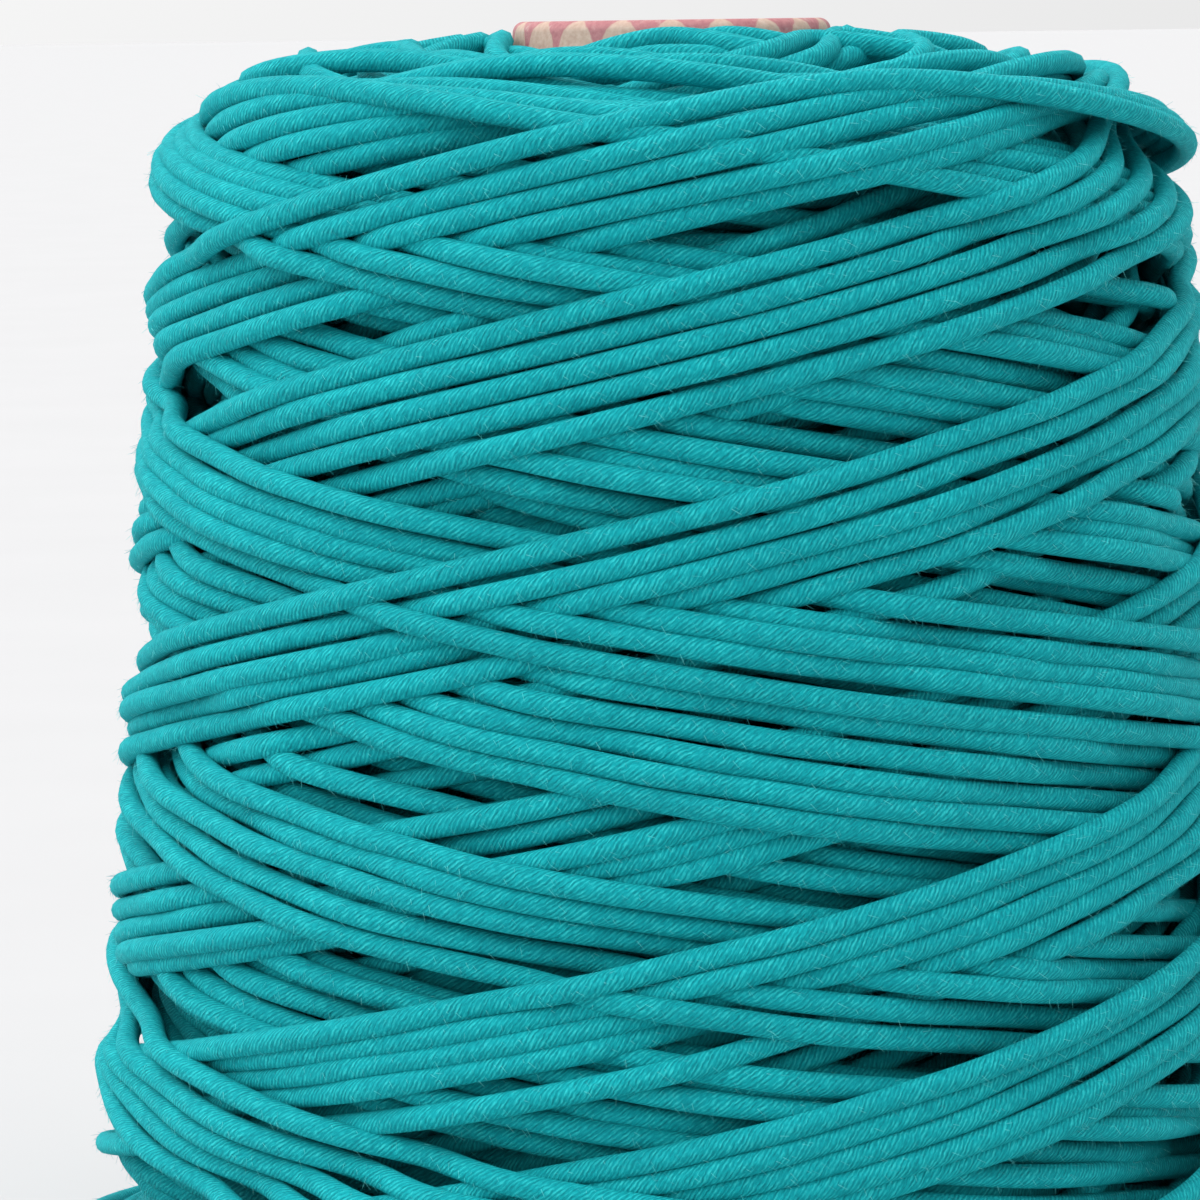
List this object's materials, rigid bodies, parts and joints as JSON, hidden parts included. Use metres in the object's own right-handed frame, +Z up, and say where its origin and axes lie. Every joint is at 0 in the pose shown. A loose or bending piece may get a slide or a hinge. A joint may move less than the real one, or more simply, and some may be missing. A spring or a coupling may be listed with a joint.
{
  "type": "yarn cone",
  "caption": "Cone of teal knitting yarn, cross-wound on a tapered paper cone whose rounded printed nose shows at the top; the package can be drawn off the cone.",
  "frame": {"origin": "centre of the paper cone's base, on the surface that the cone stands on", "axes": "+Z up along the cone's axis, from the wide base to the nose; +Y points away from the side that the front view shows"},
  "size_m": [0.1504, 0.1504, 0.17],
  "materials": {
    "board": "rolled grey-brown paperboard, matte",
    "printed_paper": "printed paper, satin, dusty red with small beige triangles",
    "yarn": "soft plied teal yarn, matte with a light sheen"
  },
  "bodies": {
    "paper_cone": {"cone_board": "board", "cone_cover": "printed_paper"},
    "yarn_package": {"yarn_layer_1": "yarn", "yarn_layer_2": "yarn", "yarn_layer_3": "yarn", "yarn_layer_4": "yarn", "yarn_layer_5": "yarn", "yarn_layer_6": "yarn", "yarn_layer_7": "yarn", "yarn_layer_8": "yarn"}
  },
  "joints": [
    {"name": "package_lift", "type": "slide", "parent": "paper_cone", "child": "yarn_package", "axis": [0, 0, 1], "range_m": [0, 0.165]}
  ]
}
